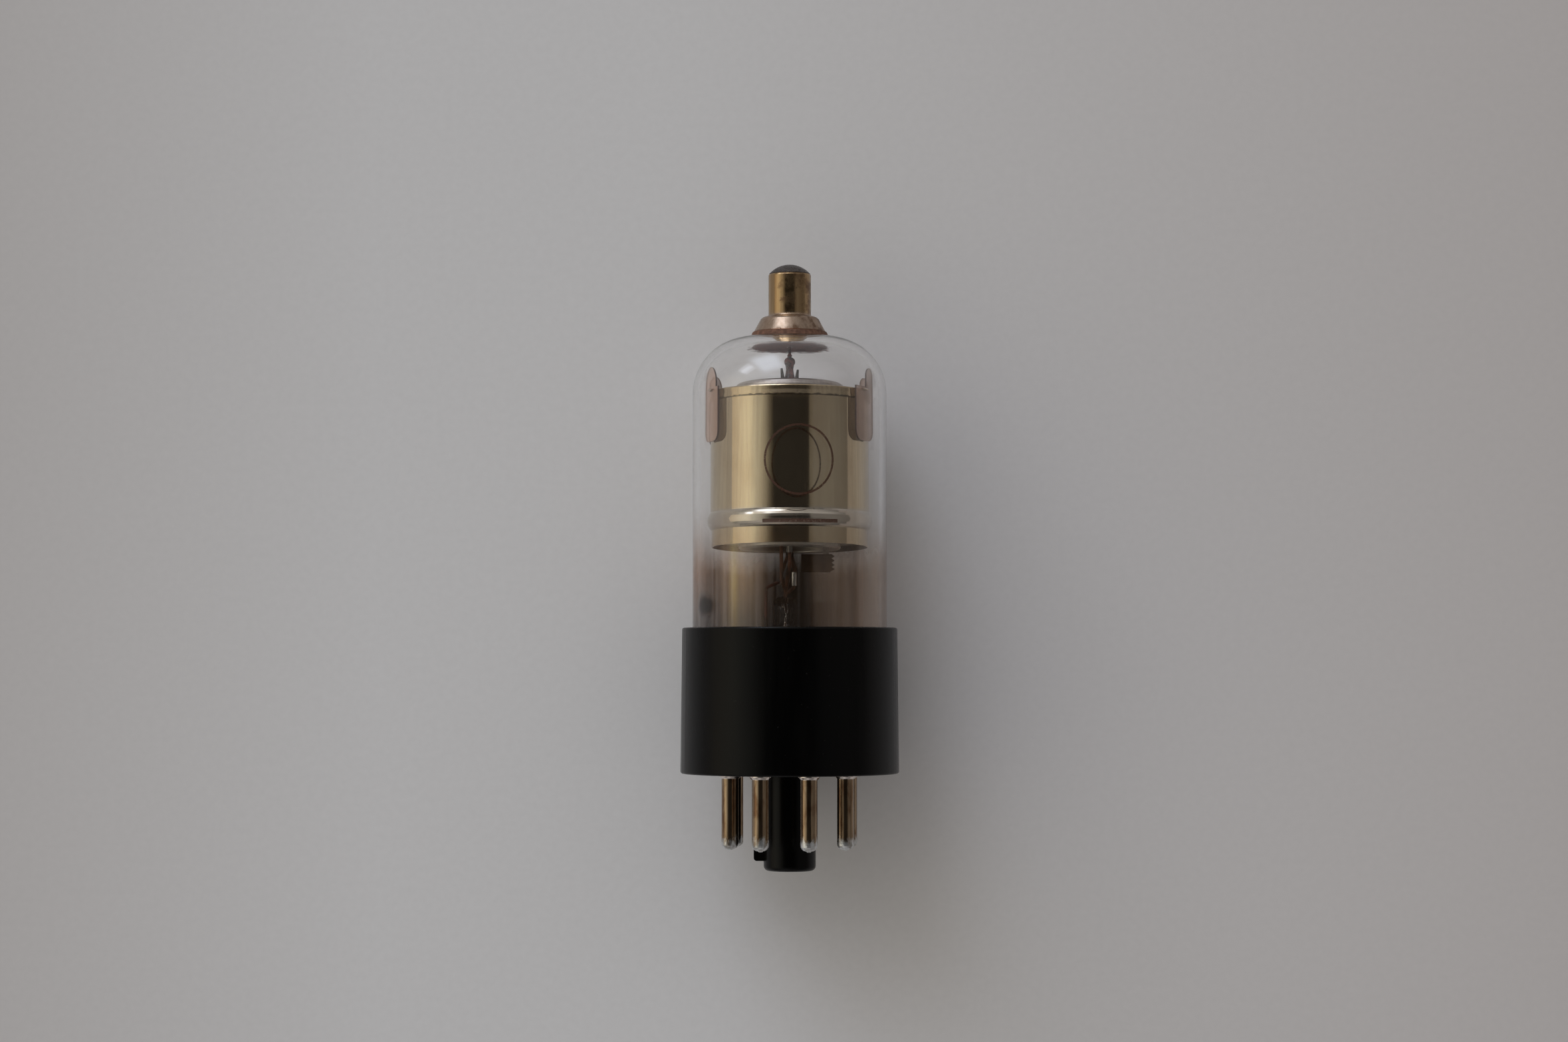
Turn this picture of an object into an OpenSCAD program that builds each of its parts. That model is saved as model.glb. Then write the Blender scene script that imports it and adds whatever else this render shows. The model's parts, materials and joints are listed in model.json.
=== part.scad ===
// Glass pentode tube with a top cap and a keyed eight-place base, lying at rest.
// Each sub-part is drawn upright: z is the height above the base's underside,
// -y faces the viewer and +x is on the viewer's right. The last step lays the tube down.

/* [Base] */
// Height of the base shell
base_h = 20.4; // [18:0.1:24]
// Wall of the base shell at its upper edge
base_wall = 1.15; // [0.8:0.05:2]
// Draft: how much wider the shell's lower edge is, on radius
base_draft = 0.22; // [0:0.02:0.5]
// Thickness of the base floor
base_floor = 3; // [2.4:0.1:4]
// Rounding of the shell's outer edges
base_edge = 0.3; // [0.1:0.05:0.5]
// Cement between the shell and the glass
cement_t = 0.3; // [0.15:0.05:0.5]
// Height of the cement band
cement_h = 6; // [3:0.5:9]
// Cement band below the shell's upper edge
cement_drop = 0.5; // [0.2:0.1:1.5]
// Diameter of the locating spigot
spigot_d = 7.3; // [6.5:0.1:8]
// Length of the spigot below the base
spigot_len = 13.6; // [12:0.1:16]
// Wall of the hollow spigot
spigot_wall = 1.2; // [0.8:0.1:1.6]
// Rounding of the spigot's end
spigot_round = 0.7; // [0.2:0.1:1]
// Reach of the key past the spigot's side
key_rise = 1.3; // [0.8:0.1:1.8]
// Width of the key
key_w = 2.3; // [1.6:0.1:3]
// How far the key ends before the spigot does
key_short = 1.4; // [1:0.1:3]
// Rounding of the key's corner
key_round = 0.4; // [0.1:0.1:0.6]

/* [Pins] */
// Diameter of a contact pin
pin_d = 2.36; // [2.2:0.02:2.5]
// Length of a pin below the base, without its solder
pin_len = 10.45; // [9:0.05:12]
// Rounding of a pin's tip
tip_round = 0.8; // [0.5:0.05:0.85]
// Diameter of the circle that the pins stand on
pin_circle_d = 17.45; // [16.5:0.05:19]
// Wall of the hollow pins
pin_wall = 0.35; // [0.25:0.05:0.45]
// Width of the collar at a pin's root, past the pin's side
pin_collar_w = 0.35; // [0.2:0.05:0.7]
// Height of that collar
pin_collar_h = 0.6; // [0.2:0.05:0.8]
// How much wider a pin is where the floor grips it, on radius
pin_grip = 0.2; // [0.18:0.02:0.4]
// Height of the solder in a pin's tip
tip_solder_h = 1.5; // [1.1:0.1:2.4]
// Turn of the pins and the key about the axis
pin_turn = 5; // [0:1:20]

/* [Bulb] */
// Outer diameter of the glass
glass_d = 27.3; // [26.4:0.1:29]
// Wall of the glass
glass_wall = 1; // [0.8:0.05:1.2]
// How much thinner the wall is at the upper side
wall_uneven = 0.15; // [0.02:0.01:0.2]
// Radius of the bulb's shoulder
shoulder_r = 8; // [7.5:0.1:9.5]
// Height of the shoulder's centre
shoulder_at = 53.3; // [52.5:0.1:56]
// Radius of the domed crown
crown_r = 60; // [45:1:90]
// Height of the sealed lower edge
glass_bottom = 5; // [4.5:0.1:6]
// Rounding of the glass at its lower edge
heel_r = 3.5; // [2.5:0.1:4]

/* [Stem] */
// Outer diameter of the flare tube
flare_d = 12.6; // [12:0.1:13.4]
// Height at which the flare tube starts to flatten
press_low = 13; // [12:0.1:14]
// Height at which the press is flat
press_mid = 17.5; // [16.5:0.1:18.5]
// Height of the press's upper edge
press_top = 24.6; // [23:0.1:25]
// Thickness of the press
press_t = 3.2; // [2.6:0.1:3.6]
// Width of the press
press_w = 14; // [13.6:0.1:15]
// Outer diameter of the exhaust tube
exhaust_d = 3.2; // [2.8:0.1:3.6]
// How far the exhaust tube reaches below the base
exhaust_reach = 7; // [4:0.5:9]

/* [Cap] */
// Diameter of the cap
cap_d = 6; // [5.6:0.1:6.6]
// Height of the cap's side above its skirt
cap_h = 6.1; // [5:0.1:7]
// Height of the skirt
skirt_h = 2.2; // [1.6:0.1:2.4]
// Radius of the skirt's lower edge
skirt_r = 5.1; // [4.8:0.1:5.6]
// Radius of the skirt's rounded shoulder
skirt_round = 0.95; // [0.7:0.05:1.1]
// Sheet of the cap
cap_sheet = 0.3; // [0.2:0.05:0.4]
// Cement between the skirt's edge and the glass
cap_lift = 0.6; // [0.2:0.05:0.8]
// Cement squeezed out past the skirt's edge
cap_squeeze = 0.4; // [0.3:0.1:1.2]
// Height of the solder dome
dome_h = 1.3; // [0.8:0.1:1.6]

/* [Screen] */
// Gap between the can and the glass
can_gap = 1.5; // [1.3:0.1:1.9]
// Height of the can's lower edge
can_bottom = 31.6; // [31:0.1:32.5]
// Height of the can
can_h = 21.6; // [21.2:0.1:22.1]
// Sheet of the can and its ends
sheet = 0.2; // [0.15:0.05:0.3]
// Height of the bead's middle above the can's lower edge
bead_at = 3.6; // [3:0.1:4]
// Height of the bead
bead_h = 2.3; // [2:0.1:3]
// How far the bead stands out
bead_out = 0.42; // [0.2:0.02:0.6]
// How much narrower the skirt under the bead is, on radius
skirt_in = 0.2; // [0:0.05:0.4]
// Height of the lid's turned-down rim
rim_h = 1.45; // [1:0.05:1.7]
// How far the rim's lower edge flares out
rim_flare = 0.06; // [0:0.02:0.14]
// Diameter of the raised middle of the lid
raised_d = 15.4; // [14.8:0.1:16]
// Height of that raised middle
raised_h = 1.35; // [1:0.05:1.5]
// How far inside the can the floor's ring is joined
floor_in = 0.75; // [0.5:0.05:1]
// How far the floor's middle is pressed down
floor_drop = 1; // [0.8:0.05:1.3]
// Metal in the floor's middle outside the holes of the anode's rods
floor_edge = 0.35; // [0.3:0.05:0.45]
// Opening in the floor
floor_hole_d = 11.2; // [11:0.1:11.4]
// Lean of the can and the electrodes in the bulb, away from the viewer
lean = 2.2; // [0:0.1:2.6]

/* [Mica strips] */
// Width of a strip
bumper_w = 5; // [4:0.1:5.4]
// Length of a strip below the lid
bumper_drop = 7.3; // [5:0.1:9]
// Thickness of the mica
mica_t = 0.2; // [0.15:0.05:0.3]
// Turn of the left pair of strips from the sideways line
bumper_turn_left = 23; // [20:1:30]
// Turn of the right pair of strips from the sideways line
bumper_turn_right = 29; // [24:1:34]

/* [Electrodes] */
// Height of the lower mica above the can's lower edge
mica_at = 5.4; // [5.1:0.1:6]
// Distance of the upper mica below the lid
mica_drop = 1.2; // [1:0.1:1.6]
// Gap between the micas and the anode's ends
anode_gap = 0.8; // [0.5:0.1:1.2]
// Diameter of the anode
anode_d = 12; // [11.8:0.1:12.2]
// Diameter of the cathode sleeve
cathode_d = 1.7; // [1.5:0.1:1.9]
// Distance of the control grid's rods from the axis
control_at = 1.9; // [1.8:0.05:2.1]
// Distance of the screen grid's rods from the axis
screen_at = 3.3; // [3.2:0.05:3.5]
// Distance of the suppressor grid's rods from the axis
suppressor_at = 4.8; // [4.7:0.05:4.9]
// Diameter of the grid rods
rod_d = 0.6; // [0.5:0.05:0.7]
// Diameter of the grid wire
grid_wire_d = 0.16; // [0.12:0.02:0.2]
// Diameter of the stem leads
lead_d = 0.5; // [0.4:0.05:0.6]
// Diameter of the wire to the cap
top_lead_d = 0.4; // [0.3:0.05:0.5]

/* [Hidden] */
$fn = 64;
PIN_PLACES = [1, 2, 3, 4, 5, 7, 8];
BUMPERS = [1, 2, 3, 4];
PAIR = [1, 2];

slip = 0.02;

glass_r = glass_d / 2;
base_bore_r = glass_r + cement_t;
base_top_r = base_bore_r + base_wall;
base_low_r = base_top_r + base_draft;
spigot_r = spigot_d / 2;
spigot_bore_r = spigot_r - spigot_wall;
key_len = spigot_len - key_short;
pin_r = pin_d / 2;
pin_bore_r = pin_r - pin_wall;
pin_circle_r = pin_circle_d / 2;
pin_grip_r = pin_r + pin_grip;
pin_collar_r = pin_r + pin_collar_w;
tip_hole_r = pin_r - tip_round;

// The shoulder's arc runs into the crown's arc without a corner
shoulder_x = glass_r - shoulder_r;
crown_z = shoulder_at - sqrt(pow(crown_r - shoulder_r, 2) - pow(shoulder_x, 2));
crown_a = asin(shoulder_x / (crown_r - shoulder_r));
crown_top = crown_z + crown_r;
inner_r = glass_r - glass_wall;
seal_r = glass_r - heel_r;

flare_r = flare_d / 2;
flare_bore_r = flare_r - glass_wall;
exhaust_r = exhaust_d / 2;
press_x = -0.6;
lead_first = 2.2;
lead_pitch = 1.1;
lead_r = lead_d / 2;
top_lead_r = top_lead_d / 2;

cap_r = cap_d / 2;
skirt_z = crown_z + sqrt(crown_r * crown_r - skirt_r * skirt_r) + cap_lift;
cap_z = skirt_z + skirt_h;
cap_top = cap_z + cap_h;
cap_edge = 0.3;
cap_fillet = 0.35;
tinned_r = cap_r - 0.12;
cap_hole_r = cap_r - 0.7;

can_r = inner_r - can_gap;
can_top = can_bottom + can_h;
can_skirt_r = can_r - skirt_in;
bead_z = can_bottom + bead_at;
bead_arc_r = (pow(bead_h / 2, 2) + bead_out * bead_out) / (2 * bead_out);
bead_arc_a = asin(bead_h / 2 / bead_arc_r);
lid_top = can_top + slip + sheet;
rim_r = can_r + slip + sheet;
raised_r = raised_d / 2;
raised_top = lid_top + raised_h;
floor_z = can_bottom + floor_in;
floor_face = floor_z - floor_drop;
floor_hole_r = floor_hole_d / 2;

// The can leans about the middle of its height, with everything that it carries
lean_at = can_bottom + can_h / 2;

// A strip stands upright just outside the lid's rim, with its end under the glass shoulder
bumper_at = rim_r + rim_flare + slip;
bumper_low = lid_top - bumper_drop;
bumper_clear = 0.4;
bumper_round = 1.4;
shoulder_in_r = shoulder_r - glass_wall;
tab_w = 1.2;
tab_out = 0.5;

low_mica_z = can_bottom + mica_at;
high_mica_z = can_top - mica_drop;
anode_low = low_mica_z + mica_t + anode_gap;
anode_high = high_mica_z - anode_gap;
anode_r = anode_d / 2;
anode_rod_r = 0.4;
anode_rod_at = anode_r + anode_rod_r + slip;
floor_raised_r = anode_rod_at + anode_rod_r + floor_edge;
rod_r = rod_d / 2;
rod_low = 30.5;
rod_high = high_mica_z + mica_t + 0.5;
grid_wire_r = grid_wire_d / 2;
cathode_r = cathode_d / 2;
cathode_sheet = 0.1;
cathode_low = 32.2;
cathode_high = high_mica_z + mica_t + 0.4;
heater_r = 0.15;
heater_x = 0.3;
heater_low = 31;
sleeve_x = 0.6;

post_x = -1.15;
post_y = -6.2;
post_low = 26.2;

getter_size = [4, 2.2, 2.4];
getter_place = [1.6, -4.4, 28];
getter_t = 0.25;
getter_high = getter_place.z + getter_size.z;

strap_z = rod_high + 0.7;
strap_t = 0.2;
collar_t = 0.2;
bead_foot = raised_top + collar_t;
bead_head = bead_foot + 3.15;
bead_top = bead_head + 1.35;

// What the tube lies on: the shell's upper edge and the bulb's shoulder
rest_run = shoulder_at - (base_h - base_edge);
rest_drop = (base_top_r - base_edge) - shoulder_x;
rest_tilt = atan2(rest_drop, rest_run)
    - asin((shoulder_r - base_edge) / norm([rest_run, rest_drop]));
rest_height = (base_h - base_edge) * sin(rest_tilt)
    + (base_top_r - base_edge) * cos(rest_tilt) + base_edge;

// The lying tube's two ends, measured along the surface that it lies on
dome_r = (pow(tinned_r, 2) + dome_h * dome_h) / (2 * dome_h);
cap_reach = (cap_top + dome_h - dome_r) * cos(rest_tilt) + dome_r;
spigot_reach = (spigot_len - spigot_round) * cos(rest_tilt)
    + (spigot_r - spigot_round) * sin(rest_tilt) + spigot_round;
rest_back = (spigot_reach - cap_reach) / 2;

function unit(v) = v / norm(v);
function leaned(p) = [p.x, p.y * cos(lean) + (p.z - lean_at) * sin(lean),
    lean_at - p.y * sin(lean) + (p.z - lean_at) * cos(lean)];
module lean() translate([0, 0, lean_at]) rotate([-lean, 0, 0]) translate([0, 0, -lean_at]) children();
function arc(x, z, r, from, to, steps) =
    [for (i = [0:steps]) let (a = from + (to - from) * i / steps) [x + r * cos(a), z + r * sin(a)]];
function backwards(list) = [for (i = [len(list) - 1:-1:0]) list[i]];
function pin_angle(k) = -(202.5 - 45 * k + pin_turn);
function pin_place(k) = [pin_circle_r * cos(pin_angle(k)), pin_circle_r * sin(pin_angle(k))];

// Outline of the bulb from its sealed edge to the crown, moved in by inset
function bulb_outline(inset, crown_hole) = concat(
    arc(seal_r, glass_bottom + heel_r, heel_r - inset, -90, 0, 8),
    arc(shoulder_x, shoulder_at, shoulder_r - inset, 0, 90 - crown_a, 16),
    arc(0, crown_z, crown_r - inset, 91 - crown_a, 90 - asin(crown_hole / (crown_r - inset)), 5));

// A round wire along a path, with the ring of each point carried on from the one before
function carried(dirs, side, i) = i >= len(dirs) ? [] :
    let (next = unit(side - (side * dirs[i]) * dirs[i])) concat([next], carried(dirs, next, i + 1));
module wire(path, r, sides = 8) {
    last = len(path) - 1;
    dirs = [for (i = [0:last]) unit(
        (i < last ? unit(path[i + 1] - path[i]) : [0, 0, 0])
        + (i > 0 ? unit(path[i] - path[i - 1]) : [0, 0, 0]))];
    across = carried(dirs, abs(dirs[0].z) < 0.9 ? [0, 0, 1] : [1, 0, 0], 0);
    points = [for (i = [0:last], k = [0:sides - 1]) let (a = 360 * k / sides)
        path[i] + r * (cos(a) * across[i] + sin(a) * cross(dirs[i], across[i]))];
    ends = [[for (k = [0:sides - 1]) k], [for (k = [sides - 1:-1:0]) last * sides + k]];
    walls = [for (i = [0:last - 1], k = [0:sides - 1])
        let (a = i * sides + k, b = i * sides + (k + 1) % sides) [a, a + sides, b + sides, b]];
    polyhedron(points, concat(ends, walls), convexity = 8);
}

// Base
module at_pin(k) translate([pin_place(k).x, pin_place(k).y, 0]) children();

module key() {
    reach = spigot_r + key_rise;
    rotate([0, 0, -(180 + pin_turn)]) rotate([90, 0, 0])
        translate([0, 0, -key_w / 2]) linear_extrude(key_w)
            polygon(concat([[spigot_bore_r + spigot_wall / 2, base_floor / 2], [reach, base_floor / 2]],
                arc(reach - key_round, key_round - key_len, key_round, 0, -90, 4),
                [[spigot_bore_r + spigot_wall / 2, -key_len]]));
}

module base_shell() color("#1a1817") difference() {
    union() {
        rotate([0, 0, pin_angle(1)]) rotate_extrude() polygon(concat(
            [[0, base_floor], [base_bore_r, base_floor], [base_bore_r, base_h]],
            arc(base_top_r - base_edge, base_h - base_edge, base_edge, 90, 0, 4),
            arc(base_low_r - base_edge, base_edge, base_edge, 0, -90, 4),
            [[0, 0]]));
        rotate_extrude() polygon(concat(
            [[0, base_floor / 2], [spigot_r, base_floor / 2]],
            arc(spigot_r - spigot_round, spigot_round - spigot_len, spigot_round, 0, -90, 5),
            [[0, -spigot_len]]));
        key();
    }
    translate([0, 0, spigot_wall - spigot_len])
        cylinder(h = spigot_len + base_floor, r = spigot_bore_r);
    for (k = PIN_PLACES) at_pin(k)
        translate([0, 0, -1]) cylinder(h = base_floor + 2, r = pin_grip_r + slip);
}

module base_cement() color("#6b5a44") translate([0, 0, base_h - cement_drop - cement_h])
    difference() {
        cylinder(h = cement_h, r = base_bore_r);
        translate([0, 0, -1]) cylinder(h = cement_h + 2, r = glass_r);
    }

module contact_pin(k) color("#a8977a") at_pin(k) rotate_extrude() polygon(concat(
    [[pin_bore_r, base_floor + pin_collar_h], [pin_collar_r, base_floor + pin_collar_h],
     [pin_collar_r, base_floor], [pin_grip_r, base_floor], [pin_grip_r, 0], [pin_collar_r, 0],
     [pin_collar_r, -pin_collar_h / 2], [pin_r + pin_collar_w / 3, -pin_collar_h],
     [pin_r, -pin_collar_h]],
    arc(tip_hole_r, tip_round - pin_len, tip_round, 0, -90, 5),
    [[tip_hole_r, pin_wall - pin_len], [pin_bore_r, tip_round - pin_len]]));

tip_end = 0.4 - pin_len;
module tip_solder() color("silver") for (k = PIN_PLACES) at_pin(k) difference() {
    rotate_extrude() polygon([
        [0, tip_solder_h - pin_len], [pin_bore_r, tip_solder_h - pin_len],
        [pin_bore_r, tip_round - pin_len], [tip_hole_r, pin_wall - pin_len], [tip_hole_r, -pin_len],
        [tip_hole_r * 0.7, -pin_len - 0.12], [0, -pin_len - 0.15]]);
    translate([0, 0, tip_end]) cylinder(h = pin_len, r = lead_r + slip, $fn = 24);
}

// Glass
// The wall of the straight part is a little thinner at the side away from the table
bore_low = 10;
bore_up = shoulder_at - 1.5;
module glass_bulb() color("#c9d0cc", 0.35) difference() {
    rotate_extrude($fn = 96)
        polygon(concat(bulb_outline(0, top_lead_r), backwards(bulb_outline(glass_wall, top_lead_r))));
    translate([-wall_uneven / 2, -wall_uneven, bore_low])
        cylinder(h = bore_up - bore_low, r = inner_r, $fn = 96);
}

module flare() rotate_extrude() polygon(concat(
    [[flare_r, press_low]],
    arc(seal_r, glass_bottom + glass_wall + (seal_r - flare_r), seal_r - flare_r, 180, 270, 8),
    arc(seal_r, glass_bottom + glass_wall + (seal_r - flare_r),
        seal_r - flare_bore_r, 270, 180, 8),
    [[flare_bore_r, press_low]]));

// The flare tube's upper end, flattened over the leads
module press() intersection() {
    rotate([90, 0, 0]) translate([0, 0, -press_w]) linear_extrude(2 * press_w) polygon([
        [-flare_r, press_low], [flare_r, press_low],
        [press_x + press_t / 2, press_mid], [press_x + press_t / 2, press_top - 0.6],
        [press_x + press_t / 2 - 0.6, press_top], [press_x - press_t / 2 + 0.6, press_top],
        [press_x - press_t / 2, press_top - 0.6], [press_x - press_t / 2, press_mid]]);
    rotate([90, 0, 90]) translate([0, 0, -press_w]) linear_extrude(2 * press_w) polygon([
        [-flare_r, press_low], [flare_r, press_low],
        [press_w / 2, press_mid], [press_w / 2, press_top - 1], [press_w / 2 - 1, press_top],
        [1 - press_w / 2, press_top], [-press_w / 2, press_top - 1], [-press_w / 2, press_mid]]);
    translate([0, 0, press_low]) cylinder(h = press_top, r1 = flare_r, r2 = flare_r + press_top);
}

module exhaust_tube() translate([0, 0, -exhaust_reach]) {
    cylinder(h = press_low + exhaust_reach + 1, r = exhaust_r);
    sphere(r = exhaust_r + slip);
}

module glass_stem() color("#c2c8c4", 0.5) difference() {
    union() {
        flare();
        press();
        exhaust_tube();
    }
    translate([0, 0, -exhaust_reach]) cylinder(h = press_low + exhaust_reach, r = exhaust_r - 0.8);
    for (k = PIN_PLACES) translate([press_place(k).x, press_place(k).y, press_low - 1])
        cylinder(h = press_top - press_low + 2, r = lead_r + slip, $fn = 24);
}

// Cap
module top_cap() color("#b9a988") rotate_extrude() polygon(concat(
    cap_outline(0), backwards(cap_outline(cap_sheet))));

function cap_outline(inset) = concat(
    [[skirt_r - inset, skirt_z]],
    arc(cap_r + cap_fillet, cap_z - skirt_round, skirt_round - inset, 20, 90, 5),
    arc(cap_r + cap_fillet, cap_z + cap_fillet, cap_fillet + inset, 240, 180, 3),
    arc(cap_r - inset - cap_edge, cap_top - inset - cap_edge, cap_edge, 0, 90, 3),
    [[cap_hole_r, cap_top - inset]]);

module cap_solder() color("#5b5855") difference() {
    union() {
        intersection() {
            translate([0, 0, cap_top + dome_h - dome_r]) sphere(r = dome_r);
            translate([0, 0, cap_top]) cylinder(h = 2 * dome_h, r = cap_r);
        }
        translate([0, 0, cap_top - cap_sheet]) cylinder(h = 2 * cap_sheet, r = cap_hole_r);
    }
    translate([0, 0, cap_top - 1]) cylinder(h = 1.6, r = top_lead_r);
}

module cap_cement() color("#6f3f22") difference() {
    rotate_extrude() polygon([
        [top_lead_r, crown_top - 1], [skirt_r + cap_squeeze, crown_top - 1],
        [skirt_r + cap_squeeze, skirt_z - cap_lift], [skirt_r + cap_squeeze / 3, skirt_z],
        [skirt_r - cap_sheet, skirt_z], cap_outline(cap_sheet)[1],
        [top_lead_r, cap_outline(cap_sheet)[1].y]]);
    rotate_extrude($fn = 96)
        polygon(concat(bulb_outline(0, top_lead_r), [[0, crown_top], [0, glass_bottom]]));
}

// The wire leans with the electrodes up to the bead, and goes on along the bulb's axis
module grid_lead() color("#7a4a38") wire([
    leaned([0, 0, strap_z + strap_t]), leaned([0, 0, bead_top + 0.1]),
    [0, 0, crown_top - glass_wall - 0.15], [0, 0, cap_top + 0.5]], top_lead_r, 12);

// Joins the control grid's rods under the wire to the cap
module grid_strap() color("#a39a8c")
    translate([-0.4, -control_at - rod_r, strap_z]) cube([0.8, 2 * (control_at + rod_r), strap_t]);

// The bead's foot stands in the collar and its round head is under the crown
module lead_bead() color("#8c4a3c", 0.8) rotate_extrude() polygon(concat(
    [[top_lead_r, bead_foot], [0.85, bead_foot], [0.85, bead_foot + 0.4], [0.62, bead_foot + 1.2],
     [0.52, bead_foot + 2]],
    arc(0, bead_head, 0.8, -40, 70, 8),
    arc(0, bead_top - 0.35, 0.34, -45, 45, 4),
    [[top_lead_r, bead_top]]));

module lead_collar() color("#4a4034") {
    collar_r = 1.3;
    ear_h = 2.2;
    ear_turn = 35;
    difference() {
        translate([0, 0, raised_top]) cylinder(h = collar_t, r = collar_r);
        translate([0, 0, raised_top - 1]) cylinder(h = 2, r = top_lead_r + slip);
    }
    for (side = [0, 180]) rotate([0, 0, side + ear_turn])
        translate([collar_r - collar_t, 0, raised_top + collar_t / 2]) rotate([0, 8, 0])
            rotate([90, 0, 90]) linear_extrude(collar_t, center = true)
                polygon([[-0.45, 0], [0.45, 0], [0.12, ear_h], [-0.12, ear_h]]);
}

// Screen
function can_outline(inset) = concat(
    [[can_skirt_r - inset, can_bottom], [can_skirt_r - inset, bead_z - bead_h / 2 - skirt_in]],
    arc(can_r + bead_out - bead_arc_r - inset, bead_z, bead_arc_r, -bead_arc_a, bead_arc_a, 8),
    [[can_r - inset, can_top]]);

module shield_can() color("#9c9274") difference() {
    rotate_extrude($fn = 96) polygon(concat(can_outline(0), backwards(can_outline(sheet))));
    for (side = [0, 180]) rotate([0, 0, side]) translate([can_r - 1, -0.25, can_bottom - 1])
        cube([3, 0.5, bead_at - bead_h / 2 + 0.6]);
}

module shield_lid() color("#a39a80") {
    hole_r = top_lead_r + 0.6;
    step_r = 0.8;
    flare_h = rim_h / 2;
    rotate_extrude($fn = 96) polygon(concat(
        [[hole_r, raised_top], [hole_r, raised_top - sheet]],
        arc(raised_r - step_r, raised_top - step_r, step_r - sheet, 90, 0, 3),
        [[raised_r - sheet, lid_top - sheet], [rim_r - sheet, lid_top - sheet],
         [rim_r - sheet, lid_top - rim_h + flare_h], [rim_r - sheet + rim_flare, lid_top - rim_h],
         [rim_r + rim_flare, lid_top - rim_h], [rim_r, lid_top - rim_h + flare_h]],
        arc(rim_r - sheet, lid_top - sheet, sheet, 0, 90, 2),
        [[raised_r, lid_top]],
        arc(raised_r - step_r, raised_top - step_r, step_r, 0, 90, 4)));
    for (k = BUMPERS) at_bumper(k)
        translate([rim_r - 2 * sheet, -tab_w / 2, lid_top - sheet])
            cube([2 * sheet + tab_out, tab_w, sheet]);
}

module shield_floor() color("#a8a08a") difference() {
    ring_r = can_skirt_r - sheet - slip;
    rotate_extrude($fn = 96) polygon([
        [floor_hole_r, floor_face], [floor_hole_r, floor_face + sheet],
        [floor_raised_r - sheet, floor_face + sheet], [floor_raised_r - sheet, floor_z + sheet],
        [ring_r, floor_z + sheet], [ring_r, floor_z], [floor_raised_r, floor_z],
        [floor_raised_r, floor_face + sheet], [floor_raised_r - sheet, floor_face]]);
    for (side = [-1, 1]) translate([0, side * anode_rod_at, floor_face - 1])
        cylinder(h = 3, r = anode_rod_r + slip, $fn = 24);
}

module shield_post() color("#6b4636")
    translate([post_x, post_y, post_low]) cylinder(h = floor_face - post_low, r = lead_r, $fn = 24);

// Mica strips: 1 and 2 on the viewer's side, 3 and 4 behind, odd ones on the left
function bumper_top(aside) = shoulder_at - bumper_clear
    + sqrt(pow(shoulder_in_r, 2) - pow(norm([bumper_at + mica_t, aside]) - shoulder_x, 2));
function bumper_angle(k) = [180 + bumper_turn_left, -bumper_turn_right,
    180 - bumper_turn_left, bumper_turn_right][k - 1];
module at_bumper(k) rotate([0, 0, bumper_angle(k)]) children();

module mica_bumper(k) color("#a08274", 0.7) {
    outward = k == 1 || k == 4 ? 1 : -1;
    tongue_w = k % 2 == 1 ? bumper_w * 0.85 : bumper_w * 0.4;
    tongue_y = outward * (bumper_w - tongue_w) / -2;
    tongue_z = bumper_top(tongue_y) - tongue_w / 2;
    step_z = lid_top + 0.25;
    corner = bumper_round;
    at_bumper(k) translate([bumper_at, 0, 0]) rotate([90, 0, 90]) linear_extrude(mica_t)
        difference() {
            union() {
                translate([-bumper_w / 2 + corner, bumper_low]) square([bumper_w - 2 * corner, corner]);
                for (side = [-1, 1]) translate([side * (bumper_w / 2 - corner), bumper_low + corner])
                    circle(r = corner);
                translate([-bumper_w / 2, bumper_low + corner])
                    square([bumper_w, step_z - bumper_low - corner]);
                translate([tongue_y, tongue_z]) circle(r = tongue_w / 2);
                translate([tongue_y - tongue_w / 2, step_z - 1])
                    square([tongue_w, tongue_z - step_z + 1]);
            }
            translate([-tab_w / 2 - slip, lid_top - sheet - slip])
                square([tab_w + 2 * slip, sheet + 2 * slip]);
        }
}

// Electrodes
module mica_disc(z, r) color("#b8a894") difference() {
    translate([0, 0, z]) cylinder(h = mica_t, r = r);
    for (side = [-1, 1], at = [control_at, screen_at, suppressor_at])
        translate([0, side * at, z - 1]) cylinder(h = 2, r = rod_r + slip, $fn = 24);
    for (side = [-1, 1]) translate([0, side * anode_rod_at, z - 1])
        cylinder(h = 2, r = anode_rod_r + slip, $fn = 24);
    translate([0, 0, z - 1]) cylinder(h = 2, r = cathode_r + slip, $fn = 32);
}

module anode() color("#57534c") translate([0, 0, anode_low]) difference() {
    cylinder(h = anode_high - anode_low, r = anode_r);
    translate([0, 0, -1]) cylinder(h = anode_high - anode_low + 2, r = anode_r - sheet);
}

module rod(at, r, low, high) color("#8d8577")
    translate([0, at, low]) cylinder(h = high - low, r = r, $fn = 24);

// An oval winding that passes just outside its two rods
module grid(at, turns) color("#b3a99a") {
    steps = 12;
    long_r = at + rod_r + grid_wire_r + slip;
    short_r = long_r * 0.8;
    low = anode_low + 0.4;
    pitch = (anode_high - 0.4 - low) / turns;
    wire([for (i = [0:turns * steps]) let (a = 360 * i / steps + 90)
        [short_r * cos(a), long_r * sin(a), low + pitch * i / steps]], grid_wire_r, 5);
}

module cathode() color("#d8d4cc") translate([0, 0, cathode_low]) difference() {
    cylinder(h = cathode_high - cathode_low, r = cathode_r, $fn = 32);
    translate([0, 0, -1])
        cylinder(h = cathode_high - cathode_low + 2, r = cathode_r - cathode_sheet, $fn = 32);
}

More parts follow.
